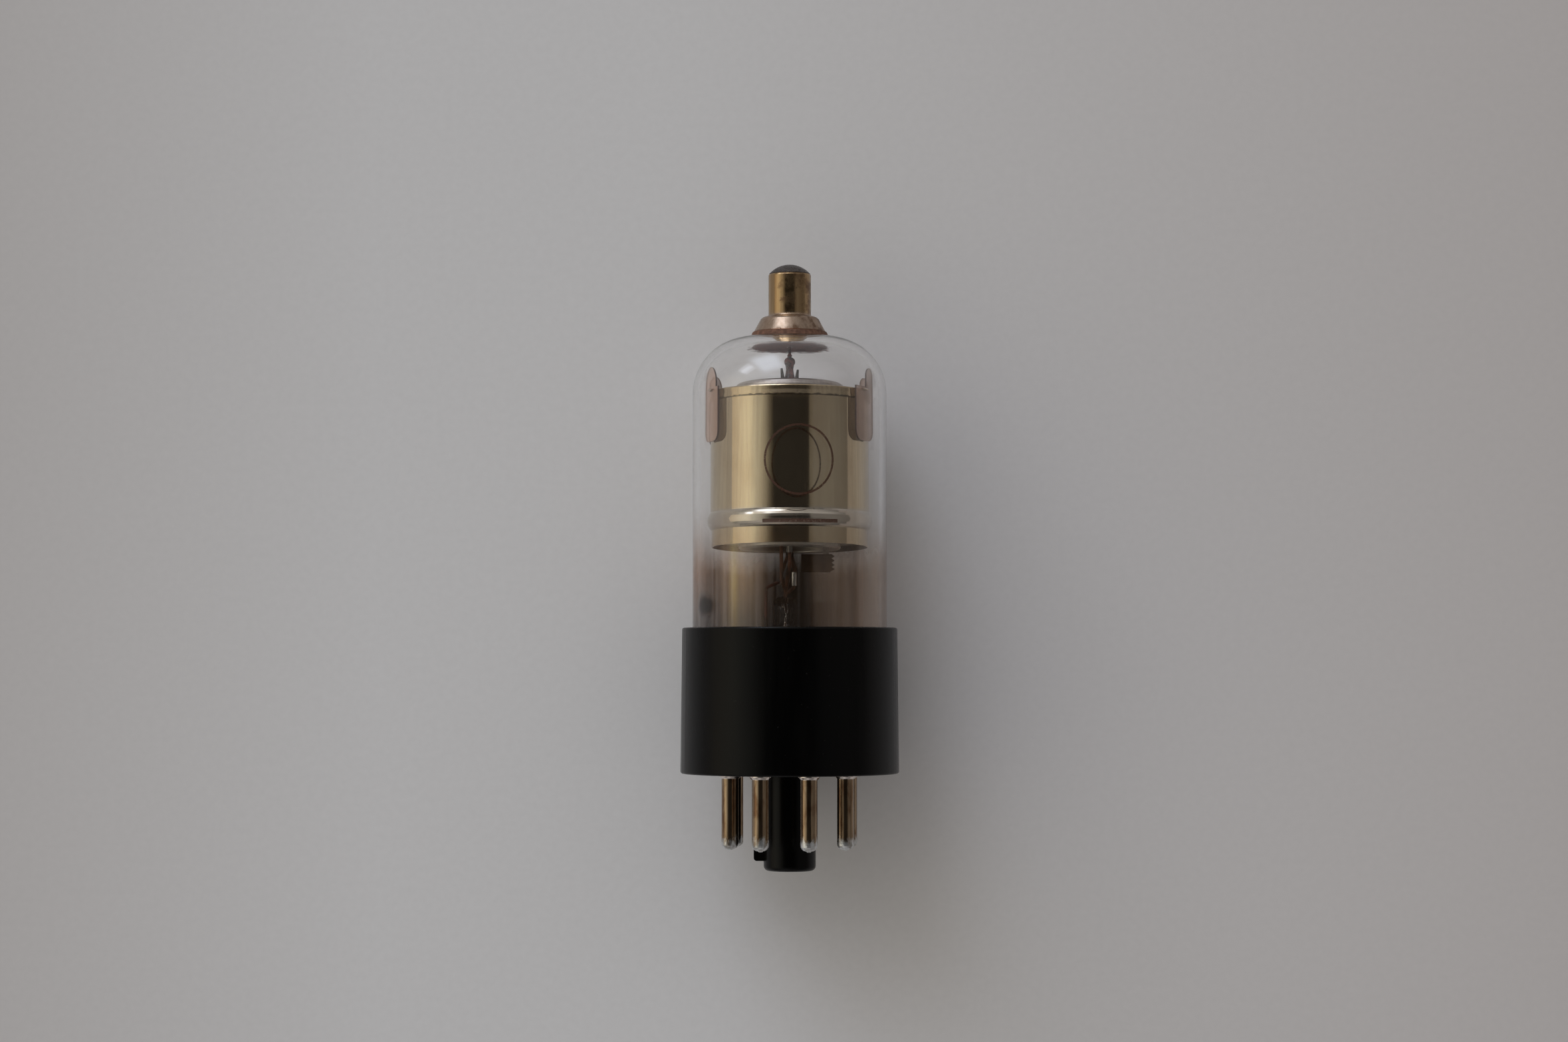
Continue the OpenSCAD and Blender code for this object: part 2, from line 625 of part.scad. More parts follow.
module heater() color("#e6e2da") wire([
    [-heater_x, 0, heater_low], [-heater_x, 0, cathode_high - 1],
    [-heater_x / 2, 0, cathode_high - 0.7], [heater_x / 2, 0, cathode_high - 0.7],
    [heater_x, 0, cathode_high - 1], [heater_x, 0, heater_low]], heater_r);

// Leads: how each goes from its pin's tip through the press to its electrode. Six stand in the
// press in a row from front to back, and the screen's own lead comes out at the shoulder.
function press_place(k) = k == 1 ? [-3.3, -2.4] :
    let (n = [0, -2, -3, -1, 3, 0, 2, 1][k - 1])
    [press_x, sign(n) * (lead_first + (abs(n) - 1) * lead_pitch)];
function up_to(x, y, z, straight) = [leaned([x, y, z - straight]), leaned([x, y, z])];
function lead_end(k) = [
    concat([[-3.3, -2.4, 25.7], [-3.1, -2.6, 26]],
        up_to(post_x, post_y + 2 * lead_r + slip, post_low + 1, 0.6)),
    concat([[press_x, press_place(2).y, press_top + 0.4], [sleeve_x, press_place(2).y, press_top + 1.4],
        [sleeve_x, press_place(2).y, press_top + 3.6]], up_to(heater_x, 0, heater_low - slip, 0.6)),
    concat([[press_x, press_place(3).y, press_top + 0.8]],
        up_to(0, -anode_rod_at, rod_low - slip, 1.3)),
    concat([[press_x, press_place(4).y, press_top + 1]], up_to(0, -screen_at, rod_low - slip, 1.1)),
    concat([[press_x, press_place(5).y, press_top + 1]], up_to(0, suppressor_at, rod_low - slip, 1.1)),
    [],
    concat([[press_x, press_place(7).y, press_top + 0.8], [-1.2, 2.2, press_top + 3.4]],
        up_to(-heater_x, 0, heater_low - slip, 0.6)),
    concat([[press_x, press_place(8).y, press_top + 0.8], [0.9, 1.9, press_top + 4]],
        up_to(0, cathode_r + lead_r + slip, cathode_low + 1, 1.8))][k - 1];

module stem_lead(k) color("#5a4038") {
    foot = pin_place(k);
    top = press_place(k);
    bend = foot + 0.72 * (top - foot);
    wire(concat(
        [[foot.x, foot.y, tip_end + slip], [foot.x, foot.y, base_floor + 0.8],
         [bend.x, bend.y, base_floor + 3.4],
         [top.x, top.y, press_low - 1.6], [top.x, top.y, press_low - 0.6]],
        lead_end(k)), lead_r);
}

module weld_sleeve() color("#d9d6cf")
    translate([sleeve_x, press_place(2).y, press_top + 1.6]) difference() {
    cylinder(h = 1.9, r = lead_r + 0.12, $fn = 24);
    translate([0, 0, -1]) cylinder(h = 4, r = lead_r + slip, $fn = 24);
}

// Getter: an open channel with a toothed end, hung from the floor by its strap
module getter() color("#3a322c") translate(getter_place) difference() {
    tooth_h = getter_size.z / 4;
    union() {
        cube(getter_size);
        translate([getter_size.x, getter_t, 0]) rotate([90, 0, 0]) linear_extrude(getter_t)
            polygon(concat([[0, 0]], [for (i = [0:3]) each
                [[0.55, tooth_h * (i + 0.5)], [0.15, tooth_h * (i + 1)]]], [[0, getter_size.z]]));
    }
    translate([-1, getter_t, -getter_t])
        cube([getter_size.x + 1 - getter_t, getter_size.y - 2 * getter_t, getter_size.z]);
}

module getter_strap() color("#8a8170") translate([getter_place.x + 3, getter_place.y, getter_high])
    cube([0.8, 1.2, floor_face - getter_high]);

module lie() translate([0, rest_back, rest_height]) rotate([-90 - rest_tilt, 0, 0]) children();

lie() base_shell();
lie() base_cement();
lie() glass_bulb();
lie() glass_stem();
lie() tip_solder();
lie() top_cap();
lie() cap_solder();
lie() cap_cement();
lie() grid_lead();
lie() lean() lead_bead();
lie() lean() lead_collar();
lie() lean() shield_can();
lie() lean() shield_lid();
lie() lean() shield_floor();
lie() lean() shield_post();
lie() lean() mica_disc(high_mica_z, can_r - sheet - slip);  // top_mica
lie() lean() mica_disc(low_mica_z, can_r - sheet - slip);  // bottom_mica
lie() lean() anode();
lie() lean() grid(suppressor_at, 9);  // suppressor_grid
lie() lean() grid(screen_at, 12);  // screen_grid
lie() lean() grid(control_at, 16);  // control_grid
lie() lean() cathode();
lie() lean() heater();
lie() lean() getter();
lie() lean() getter_strap();
lie() lean() grid_strap();
lie() weld_sleeve();
for (k = PIN_PLACES) {
    lie() contact_pin(k);
    lie() stem_lead(k);
}
for (k = BUMPERS)
    lie() lean() mica_bumper(k);
for (k = PAIR) {
    side = k == 1 ? -1 : 1;
    lie() lean() rod(side * anode_rod_at, anode_rod_r, rod_low, rod_high);
    lie() lean() rod(side * suppressor_at, rod_r, side > 0 ? rod_low : low_mica_z - 1, rod_high);
    lie() lean() rod(side * screen_at, rod_r, side < 0 ? rod_low : low_mica_z - 1, rod_high);
    lie() lean() rod(side * control_at, rod_r, low_mica_z - 1, strap_z);
}
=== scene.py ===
"""Looks of a glass pentode tube with a top cap, lying on pale paper.

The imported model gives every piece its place. Here each one gets its finish, and the glass, the
smoky deposit in it and the plain printed mark are made finer. Sizes are millimetres in the
tube's own upright frame: z is the height above the base's underside, and -y faces the camera.
"""

import json
import math

import bmesh
import bpy
from mathutils import Matrix, Vector


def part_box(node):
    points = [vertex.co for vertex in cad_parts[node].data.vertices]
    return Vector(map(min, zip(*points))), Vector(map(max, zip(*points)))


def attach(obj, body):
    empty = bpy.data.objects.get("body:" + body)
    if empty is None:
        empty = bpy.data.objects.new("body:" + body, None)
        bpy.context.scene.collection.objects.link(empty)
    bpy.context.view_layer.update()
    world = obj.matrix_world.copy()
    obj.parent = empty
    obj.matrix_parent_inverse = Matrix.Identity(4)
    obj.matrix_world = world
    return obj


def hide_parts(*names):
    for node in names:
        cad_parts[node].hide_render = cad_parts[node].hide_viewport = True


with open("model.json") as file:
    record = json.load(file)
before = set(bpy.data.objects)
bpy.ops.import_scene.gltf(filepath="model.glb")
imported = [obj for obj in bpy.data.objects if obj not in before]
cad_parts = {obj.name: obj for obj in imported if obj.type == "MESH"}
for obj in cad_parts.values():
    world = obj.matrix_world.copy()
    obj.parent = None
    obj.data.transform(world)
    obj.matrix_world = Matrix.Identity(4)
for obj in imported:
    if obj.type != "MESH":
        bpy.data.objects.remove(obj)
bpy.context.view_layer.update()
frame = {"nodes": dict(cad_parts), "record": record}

MM = 0.001
SPIGOT_LEN = 13.6
SHARP_DEGREES = 40

# The bulb
GLASS_WALL = 1.0
SHOULDER_R = 8.0
SHOULDER_AT = 53.3
CROWN_R = 60.0
GLASS_BOTTOM = 5.0
HEEL_R = 3.5
LEAD_R = 0.2
GLASS_R = (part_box("glass_bulb")[1].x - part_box("glass_bulb")[0].x) / 2 / MM
INNER_R = GLASS_R - GLASS_WALL
SEAL_R = GLASS_R - HEEL_R
SHOULDER_X = GLASS_R - SHOULDER_R
CROWN_Z = SHOULDER_AT - math.sqrt((CROWN_R - SHOULDER_R) ** 2 - SHOULDER_X**2)
CROWN_A = math.degrees(math.asin(SHOULDER_X / (CROWN_R - SHOULDER_R)))

# The deposit on the inside of the glass: its lower edge, how it fades, and its depth in the wall
FILM_LOW = 8.0
FILM_FADE_FROM = 39.0
FILM_FADE_TO = 28.0
FILM_DEPTH = 0.03

# How dense it is at the front, at the back, and at the right of the back
FILM_FRONT = 0.26
FILM_BACK = 0.97
FILM_RIGHT = 0.87

# Its zones, each from where it begins to where it is full: first heights, then places across
FRONT_BROWN_Z = (29, 21)
BACK_BROWN_Z = (28, 21)
GOLD_REFLECTION_Z = (21, 26)
FRONT_DENSE_Y = (-7, -0.5)
FRONT_BROWN_X = (4, -6)
FRONT_TAN_X = (7.5, 10.5)
FRONT_ORANGE_X = (-8.5, -11.5)
# Across the back, the dark middle and the lighter right are painted reflection as well as denser
# and thinner deposit
BACK_THIN_AND_LIGHTER_X = (4, 8.5)
BACK_BLACK_X = (4.6, 1.4)

# The golden line along the front, a painted reflection of the window at the left, with its half
# widths, and the dark smear
GOLD_REFLECTION_X = -7.5
GOLD_REFLECTION_HALF = (0.75, 0.15)
SMEAR_AT = (-11.0, -6.2, 23.4)
SMEAR_SIZE = 3.4
SMEAR_SCALE = (1, 1, 1.7)

# Heights on the cap
SKIRT_Z = 64.2
SKIRT_LIP_Z = 62.2

# The can leans back. Heights along its own axis: the middle of its bead, and the lid's rim
LEAN = 2.2
BEAD_Z = 35.2
BEAD_H = 2.3
RIM_LOW = 51.94
RIM_TOP = 53.38

# Where the solder ends on the pins, and where their bright collars begin
TINNED_FROM = -9.1
COLLAR_FROM = -0.6

# The stain inside the crown of the glass
STAIN_HOLE = 0.5
STAIN_R = 6.2
STAIN_GAP = 0.04

# The mark printed on the glass
PRINT_GAP = 0.015
RING_AT = (1.3, 43.3)
RING_R = 4.9
RING_LINE = 0.3
BAR_AT = (1.5, 34.9)
BAR_SIZE = (10.6, 0.5)

# The camera, straight above the tube, with its clipping distances in metres
CAMERA_X = -0.8
CAMERA_ALONG = 35.4
CAMERA_UP = 458.0
SENSOR = 36.0
FOCAL_PX = 4900.0
PHOTO_W = 2359.0
CLIP = (0.01, 50)

# The paper, in metres, and where it turns darker at the left and at the right, a painted shade: it
# is lightest near the tube
FLOOR_SIZE = 12.0
PAPER_SHADE_LEFT_X = (-0.14, -0.06)
PAPER_SHADE_RIGHT_X = (-0.02, 0.14)

# The room's colours by direction, in degrees from straight up towards the right. The first list
# is for what lies to the sides of the tube, the second for what lies past its ends.
WORLD_STRENGTH = 1.6
ROOM_SIDES = (
    (-95, (0.34, 0.29, 0.23)),
    (-80, (0.46, 0.41, 0.33)),
    (-61, (0.62, 0.59, 0.49)),
    (-51, (0.42, 0.41, 0.36)),
    (-38, (0.27, 0.26, 0.23)),
    (-29, (0.09, 0.085, 0.075)),
    (-23, (0.016, 0.015, 0.014)),
    (27, (0.016, 0.015, 0.014)),
    (29, (0.115, 0.11, 0.105)),
    (60, (0.12, 0.115, 0.11)),
    (95, (0.085, 0.08, 0.075)),
)
ROOM_ENDS = (
    (-95, (0.35, 0.34, 0.32)),
    (-78, (0.5, 0.49, 0.47)),
    (-60, (0.56, 0.54, 0.51)),
    (-45, (0.62, 0.61, 0.6)),
    (-22, (0.62, 0.61, 0.61)),
    (-5, (0.46, 0.455, 0.455)),
    (15, (0.3, 0.3, 0.3)),
    (95, (0.24, 0.235, 0.235)),
)

# Where the sides pass into the ends. Those are darker past the pins and near the level of the
# table: the direction's axis, where the change begins and is full, its strength and its colour
ENDS_BEGIN = (0.3, 0.5)
DARKER_ENDS = (
    ("Y", 0.2, -0.2, 0.55, (0.04, 0.03, 0.025)),
    ("Z", 0.45, 0, 0.6, (0.04, 0.04, 0.04)),
)

# The window's panes have a direction, width, height, softness and colour
PANES = (
    ((-0.36, 0.83, 0.42), 0.42, 0.6, 0.2, (1.7, 1.85, 2.1)),
    ((-0.7, 0.62, 0.33), 0.26, 0.2, 0.15, (2.0, 2.1, 2.3)),
)


def tube_matrix():
    """Takes millimetres in the tube's upright frame to the place where the tube lies."""
    mounts = {m["name"]: m for m in frame["record"]["mounts"]}
    along = Vector(mounts["top_cap"]["axis"]).normalized()
    foot = Vector(mounts["keyed_spigot"]["pos_m"]) + along * SPIGOT_LEN * MM
    across = Vector((1, 0, 0))
    turn = Matrix((across, along.cross(across), along)).transposed()
    return Matrix.Translation(foot) @ turn.to_4x4() @ Matrix.Scale(MM, 4)


TUBE = tube_matrix()


# Geometry


def arc(x, z, r, start, end, steps):
    turns = [math.radians(start + (end - start) * i / steps) for i in range(steps + 1)]
    return [(x + r * math.cos(a), z + r * math.sin(a)) for a in turns]


def piece(name, mesh):
    """Puts a mesh that is in the tube's frame in its place, riding on the tube."""
    mesh.transform(TUBE)
    mesh.shade_smooth()
    mesh.set_sharp_from_angle(angle=math.radians(SHARP_DEGREES))
    obj = bpy.data.objects.new(name, mesh)
    bpy.context.scene.collection.objects.link(obj)
    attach(obj, "root")
    return obj


def turned(name, outline, segments=192, closed=True, first=0, last=360):
    """A mesh turned about the tube's axis from (radius, height) points."""
    count = len(outline)
    columns = segments if last - first == 360 else segments + 1
    verts, faces = [], []
    for i in range(columns):
        a = math.radians(first + (last - first) * i / segments)
        verts += [(r * math.cos(a), r * math.sin(a), z) for r, z in outline]
    for i in range(segments):
        here, there = i * count, (i + 1) % columns * count
        for k in range(count if closed else count - 1):
            n = (k + 1) % count
            faces.append((here + k, there + k, there + n, here + n))
    mesh = bpy.data.meshes.new(name)
    mesh.from_pydata(verts, [], faces)
    outwards(mesh)
    return mesh


def outwards(mesh):
    work = bmesh.new()
    work.from_mesh(mesh)
    bmesh.ops.recalc_face_normals(work, faces=work.faces)
    work.to_mesh(mesh)
    work.free()


def bulb_outline(inset):
    """One face of the wall, inset from the outer one, from the seal to the hole in the crown."""
    foot = arc(SEAL_R, GLASS_BOTTOM + HEEL_R, HEEL_R - inset, -90, 0, 12)
    shoulder = arc(SHOULDER_X, SHOULDER_AT, SHOULDER_R - inset, 0, 90 - CROWN_A, 28)
    end = math.degrees(math.asin(LEAD_R / (CROWN_R - inset)))
    crown = arc(0, CROWN_Z, CROWN_R - inset, 90.5 - CROWN_A, 90 - end, 10)
    return foot + shoulder + crown


def glass_envelope():
    outline = bulb_outline(0) + bulb_outline(GLASS_WALL)[::-1]
    obj = piece("glass_envelope", turned("glass_envelope", outline))
    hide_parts("glass_bulb")


def smoky_deposit(name, first, last):
    """The deposit between two directions round the tube, in degrees."""
    steps = 40
    high = FILM_FADE_FROM + 2
    outline = [(INNER_R + FILM_DEPTH, FILM_LOW + (high - FILM_LOW) * i / steps)
               for i in range(steps + 1)]
    mesh = turned(name, outline, 120, closed=False, first=first, last=last)
    piece(name, mesh)


def crown_stain():
    """The brown stain on the inside of the crown, under the cap."""
    r = CROWN_R - GLASS_WALL - STAIN_GAP
    start, end = (math.degrees(math.asin(x / r)) for x in (STAIN_HOLE, STAIN_R))
    outline = arc(0, CROWN_Z, r, 90 - start, 90 - end, 12)
    piece("crown_stain", turned("crown_stain", outline, closed=False))


def on_glass(u, z):
    """A point on the glass, u millimetres round it from the line nearest the camera."""
    a = u / GLASS_R
    r = GLASS_R + PRINT_GAP
    return (r * math.sin(a), -r * math.cos(a), z)


def printed(name, pairs, closed):
    """A printed line. Each pair has two (u, z) points, one on either edge of it."""
    count = len(pairs)
    faces = []
    for i in range(count if closed else count - 1):
        n = (i + 1) % count
        faces.append((2 * i, 2 * i + 1, 2 * n + 1, 2 * n))
    mesh = bpy.data.meshes.new(name)
    mesh.from_pydata([on_glass(*point) for pair in pairs for point in pair], [], faces)
    piece(name, mesh)


def printed_ring():
    u, z = RING_AT
    steps = 120
    turns = [2 * math.pi * i / steps for i in range(steps)]
    pairs = [[(u + r * math.cos(a), z + r * math.sin(a)) for r in (RING_R - RING_LINE, RING_R)]
             for a in turns]
    printed("printed_ring", pairs, closed=True)


def printed_bar():
    u, z = BAR_AT
    width, height = BAR_SIZE
    steps = 24
    along = [u + width * (i / steps - 0.5) for i in range(steps + 1)]
    pairs = [((x, z + height / 2), (x, z - height / 2)) for x in along]
    printed("printed_bar", pairs, closed=False)


# Materials


class Nodes:
    """Short calls for the nodes of a material or of the world."""

    def __init__(self, owner):
        owner.use_nodes = True
        self.tree = owner.node_tree

    def first(self, kind):
        return next(n for n in self.tree.nodes if n.type == kind)

    def fill(self, socket, value):
        """Links a socket or sets its value. Colours come as three numbers."""
        if isinstance(value, bpy.types.NodeSocket):
            self.tree.links.new(value, socket)
        elif socket.type == "RGBA":
            socket.default_value = (*value, 1)
        else:
            socket.default_value = value

    def node(self, kind, inputs=None, **settings):
        made = self.tree.nodes.new("ShaderNode" + kind)
        for key, value in settings.items():
            setattr(made, key, value)
        for key, value in (inputs or {}).items():
            self.fill(made.inputs[key], value)
        return made

    def axes(self, where):
        return self.node("SeparateXYZ", {0: where}).outputs

    def noise(self, where, scale, detail, rough=0.55):
        return self.node("TexNoise", {
            "Vector": where, "Scale": scale, "Detail": detail, "Roughness": rough}).outputs["Fac"]

    def spread(self, value, low, high, to_low=0, to_high=1):
        return self.node("MapRange", {
            "Value": value, "From Min": low, "From Max": high,
            "To Min": to_low, "To Max": to_high}).outputs[0]

    def smooth(self, value, low, high):
        return self.node("MapRange", {"Value": value, "From Min": low, "From Max": high},
                         interpolation_type="SMOOTHSTEP").outputs[0]

    def math(self, kind, a, b=0.0):
        return self.node("Math", {0: a, 1: b}, operation=kind).outputs[0]

    def measure(self, kind, a, b=(0, 0, 0)):
        """A number from one or two vectors."""
        return self.node("VectorMath", {0: a, 1: b}, operation=kind).outputs["Value"]

    def mix(self, factor, a, b):
        return self.node("Mix", {0: factor, 6: a, 7: b}, data_type="RGBA").outputs[2]

    def patches(self, noise, low, high, a, b):
        """Colour a, turning into colour b where the noise goes from low to high."""
        return self.mix(self.spread(noise, low, high), a, b)

    def ramp(self, value, stops):
        """Colours by direction. The value goes from 0 to 1 over the whole turn."""
        made = self.node("ValToRGB", {"Fac": value})
        elements = made.color_ramp.elements
        while len(elements) < len(stops):
            elements.new(0.5)
        for element, (degrees, colour) in zip(elements, stops):
            element.position = (degrees + 180) / 360
            element.color = (*colour, 1)
        return made.outputs[0]


class Look(Nodes):
    """One material: a Principled shader and the nodes in front of it."""

    def __init__(self, name, **values):
        self.material = bpy.data.materials.new(name)
        super().__init__(self.material)
        self.shader = self.first("BSDF_PRINCIPLED")
        self.output = self.first("OUTPUT_MATERIAL")
        for key, value in values.items():
            self.set(key.replace("_", " ").title().replace("Ior", "IOR"), value)

    def set(self, socket, value):
        self.fill(self.shader.inputs[socket], value)

    def place(self):
        """Millimetres in the tube's upright frame."""
        back = TUBE.inverted()
        turn = back.to_3x3() * MM
        return self.node("Mapping", {
            "Vector": self.node("TexCoord").outputs["Object"],
            "Location": back.to_translation(), "Rotation": turn.to_euler(),
            "Scale": (1 / MM,) * 3}).outputs[0]

    def stretched(self, x, y, z):
        return self.node("Mapping", {"Vector": self.place(), "Scale": (x, y, z)}).outputs[0]

    def bump(self, height, distance, strength):
        self.set("Normal", self.node("Bump", {
            "Height": height, "Distance": distance, "Strength": strength}).outputs[0])

    def light_passes(self, tint):
        """Lets rays from lamps through, as thin glass does."""
        clear = self.node("BsdfTransparent", {"Color": tint})
        mixed = self.node("MixShader", {
            0: self.node("LightPath").outputs["Is Shadow Ray"],
            1: self.shader.outputs[0], 2: clear.outputs[0]})
        self.tree.links.new(mixed.outputs[0], self.output.inputs["Surface"])


def bulb_glass():
    look = Look("bulb_glass", base_color=(0.995, 0.99, 0.985), roughness=0.0, ior=1.5,
                transmission_weight=1.0)
    look.light_passes((0.97, 0.96, 0.95))
    return look.material


def stem_glass():
    look = Look("stem_glass", base_color=(0.86, 0.84, 0.82), roughness=0.03, ior=1.52,
                transmission_weight=1.0)
    wavy = look.noise(look.stretched(1, 1, 0.6), 0.7, 2)
    look.bump(wavy, 0.0006, 0.8)
    look.light_passes((0.8, 0.78, 0.76))
    return look.material


def bead_glass():
    look = Look("bead_glass", roughness=0.1, ior=1.5, transmission_weight=0.35)
    cloud = look.noise(look.place(), 1.3, 3)
    look.set("Base Color", look.patches(
        cloud, 0.35, 0.65, (0.22, 0.06, 0.045), (0.03, 0.009, 0.007)))
    look.light_passes((0.7, 0.45, 0.4))
    return look.material


def film_edge(look):
    """How much of the deposit there is, by height, and its clouds and streaks."""
    split = look.axes(look.place())
    cloud = look.noise(look.stretched(1, 1, 0.35), 0.22, 5)
    streak = look.noise(look.stretched(1, 1, 0.015), 1.3, 3)
    wavering = look.math("ADD", split["Z"], look.spread(cloud, 0.3, 0.7, -1.2, 1.2))
    there = look.math("POWER", look.spread(wavering, FILM_FADE_FROM, FILM_FADE_TO), 2.2)
    there = look.math("MULTIPLY", there, look.spread(streak, 0.35, 0.65, 0.85, 1.1))
    return split, cloud, streak, wavering, there


def dark_smear(look, cloud):
    """How much of the dark smear there is, by the distance from its middle."""
    shift = [-v * s for v, s in zip(SMEAR_AT, SMEAR_SCALE)]
    near = look.node("Mapping", {
        "Vector": look.place(), "Scale": SMEAR_SCALE, "Location": shift}).outputs[0]
    away = look.math("ADD", look.measure("LENGTH", near), look.spread(cloud, 0.3, 0.7, -0.8, 0.8))
    return look.spread(away, SMEAR_SIZE, SMEAR_SIZE * 0.3, 0, 0.92)


def front_smoke():
    """A thin metallic deposit, darker towards the base, with a dark smear at the left and a
    painted golden reflection along the front.
    """
    look = Look("front_smoke", metallic=1.0, roughness=0.16)
    split, cloud, streak, wavering, there = film_edge(look)
    dense = look.spread(split["Y"], *FRONT_DENSE_Y, FILM_FRONT, FILM_BACK)
    smear = dark_smear(look, cloud)
    brown = look.math("MULTIPLY", look.spread(wavering, *FRONT_BROWN_Z),
                      look.spread(split["X"], *FRONT_BROWN_X, 0.2, 0.8))
    tan = look.spread(split["X"], *FRONT_TAN_X, 0, 0.6)
    orange = look.spread(split["X"], *FRONT_ORANGE_X, 0, 0.75)
    # Painted reflection: a golden line down the front stands in for the window's reflection in the
    # deposit
    off_reflection = look.math("ABSOLUTE", look.math("SUBTRACT", split["X"], GOLD_REFLECTION_X))
    painted_gold_reflection = look.math("MULTIPLY", look.spread(off_reflection, *GOLD_REFLECTION_HALF),
                     look.spread(wavering, *GOLD_REFLECTION_Z, 0.25, 0.8))
    bare = look.patches(streak, 0.35, 0.65, (0.66, 0.4, 0.2), (0.4, 0.22, 0.12))
    bare = look.mix(tan, bare, (0.6, 0.47, 0.36))
    bare = look.mix(orange, bare, (0.66, 0.32, 0.13))
    bare = look.mix(brown, bare, (0.05, 0.03, 0.02))
    bare = look.mix(painted_gold_reflection, bare, (0.9, 0.68, 0.3))
    look.set("Base Color", look.mix(smear, bare, (0.01, 0.008, 0.008)))
    look.set("Alpha", look.math("MAXIMUM", look.math("MULTIPLY", there, dense), smear))
    return look.material


def back_smoke():
    """The thick deposit behind the stem, darkest in the middle and thinner and lighter at the
    right, partly painted reflection.
    """
    look = Look("back_smoke", roughness=0.45)
    split, cloud, streak, wavering, there = film_edge(look)
    shifted = look.math("ADD", split["X"], look.spread(cloud, 0.3, 0.7, -1.0, 0.4))
    # Painted reflection as well as deposit: darkest in the middle, lighter in colour at the right
    black = look.spread(look.math("ABSOLUTE", shifted), *BACK_BLACK_X)
    brown = look.spread(wavering, *BACK_BROWN_Z, 0, 0.75)
    right = look.spread(split["X"], *BACK_THIN_AND_LIGHTER_X)
    bare = look.patches(streak, 0.35, 0.65, (0.32, 0.2, 0.135), (0.18, 0.11, 0.075))
    bare = look.mix(brown, bare, (0.03, 0.018, 0.013))
    bare = look.mix(look.math("MULTIPLY", right, 0.85), bare, (0.7, 0.5, 0.39))
    dense = look.spread(right, 0, 1, FILM_BACK, FILM_RIGHT)
    look.set("Base Color", look.mix(black, bare, (0.012, 0.008, 0.006)))
    look.set("Alpha", look.math("MULTIPLY", there, dense))
    return look.material


def print_ink():
    look = Look("print_ink", roughness=0.6)
    uneven = look.noise(look.place(), 3.0, 4)
    look.set("Base Color", look.patches(
        uneven, 0.3, 0.7, (0.085, 0.027, 0.009), (0.05, 0.016, 0.006)))
    look.set("Alpha", look.spread(uneven, 0.2, 0.5, 0.55, 0.9))
    return look.material


def phenolic():
    """Black moulded resin with a slight flow in its gloss and a few pale specks."""
    look = Look("phenolic", specular_ior_level=0.15)
    where = look.place()
    flow = look.noise(look.stretched(1, 1, 0.12), 0.5, 5)
    fine = look.noise(where, 5.0, 3)
    speck = look.spread(look.noise(where, 2.3, 1), 0.755, 0.8)
    dull = look.patches(flow, 0.3, 0.7, (0.0002, 0.0002, 0.0002), (0.0009, 0.0007, 0.0005))
    look.set("Base Color", look.mix(speck, dull, (0.014, 0.013, 0.012)))
    look.set("Roughness", look.spread(flow, 0.3, 0.7, 0.24, 0.34))
    look.bump(fine, 0.00001, 0.5)
    return look.material


def pin_metal():
    """Brown old plating, a bright collar, and solder that has run over the last of each pin."""
    look = Look("pin_metal", metallic=1.0)
    height = look.axes(look.place())["Z"]
    drawn = look.noise(look.stretched(1, 1, 0.04), 5.0, 4)
    spots = look.noise(look.stretched(1, 1, 0.35), 1.1, 5)
    lumps = look.noise(look.stretched(1, 1, 0.6), 1.5, 2)
    plate = look.patches(drawn, 0.35, 0.65, (0.4, 0.295, 0.195), (0.25, 0.175, 0.11))
    old = look.mix(look.spread(spots, 0.5, 0.66, 0, 0.8), plate, (0.16, 0.08, 0.04))
    old = look.mix(look.spread(height, COLLAR_FROM - 0.1, COLLAR_FROM), old, (0.8, 0.72, 0.67))
    edge = look.math("ADD", height, look.spread(lumps, 0.3, 0.7, -0.5, 0.5))
    tinned = look.spread(edge, TINNED_FROM + 0.5, TINNED_FROM - 0.5)
    silver = look.patches(lumps, 0.4, 0.65, (0.76, 0.78, 0.79), (0.4, 0.385, 0.36))
    look.set("Base Color", look.mix(tinned, old, silver))
    look.set("Roughness", look.spread(tinned, 0, 1, 0.18, 0.34))
    look.bump(look.math("MULTIPLY", lumps, tinned), 0.00012, 0.7)
    return look.material


def solder(name, grain_scale, grain_detail, light, dark):
    look = Look(name, metallic=1.0)
    where = look.place()
    grains = look.noise(where, grain_scale, grain_detail)
    look.set("Base Color", look.patches(grains, 0.35, 0.65, light, dark))
    look.set("Roughness", look.spread(grains, 0.3, 0.7, 0.28, 0.5))
    look.bump(look.noise(where, 1.4, 3), 0.0002, 0.7)
    return look.material


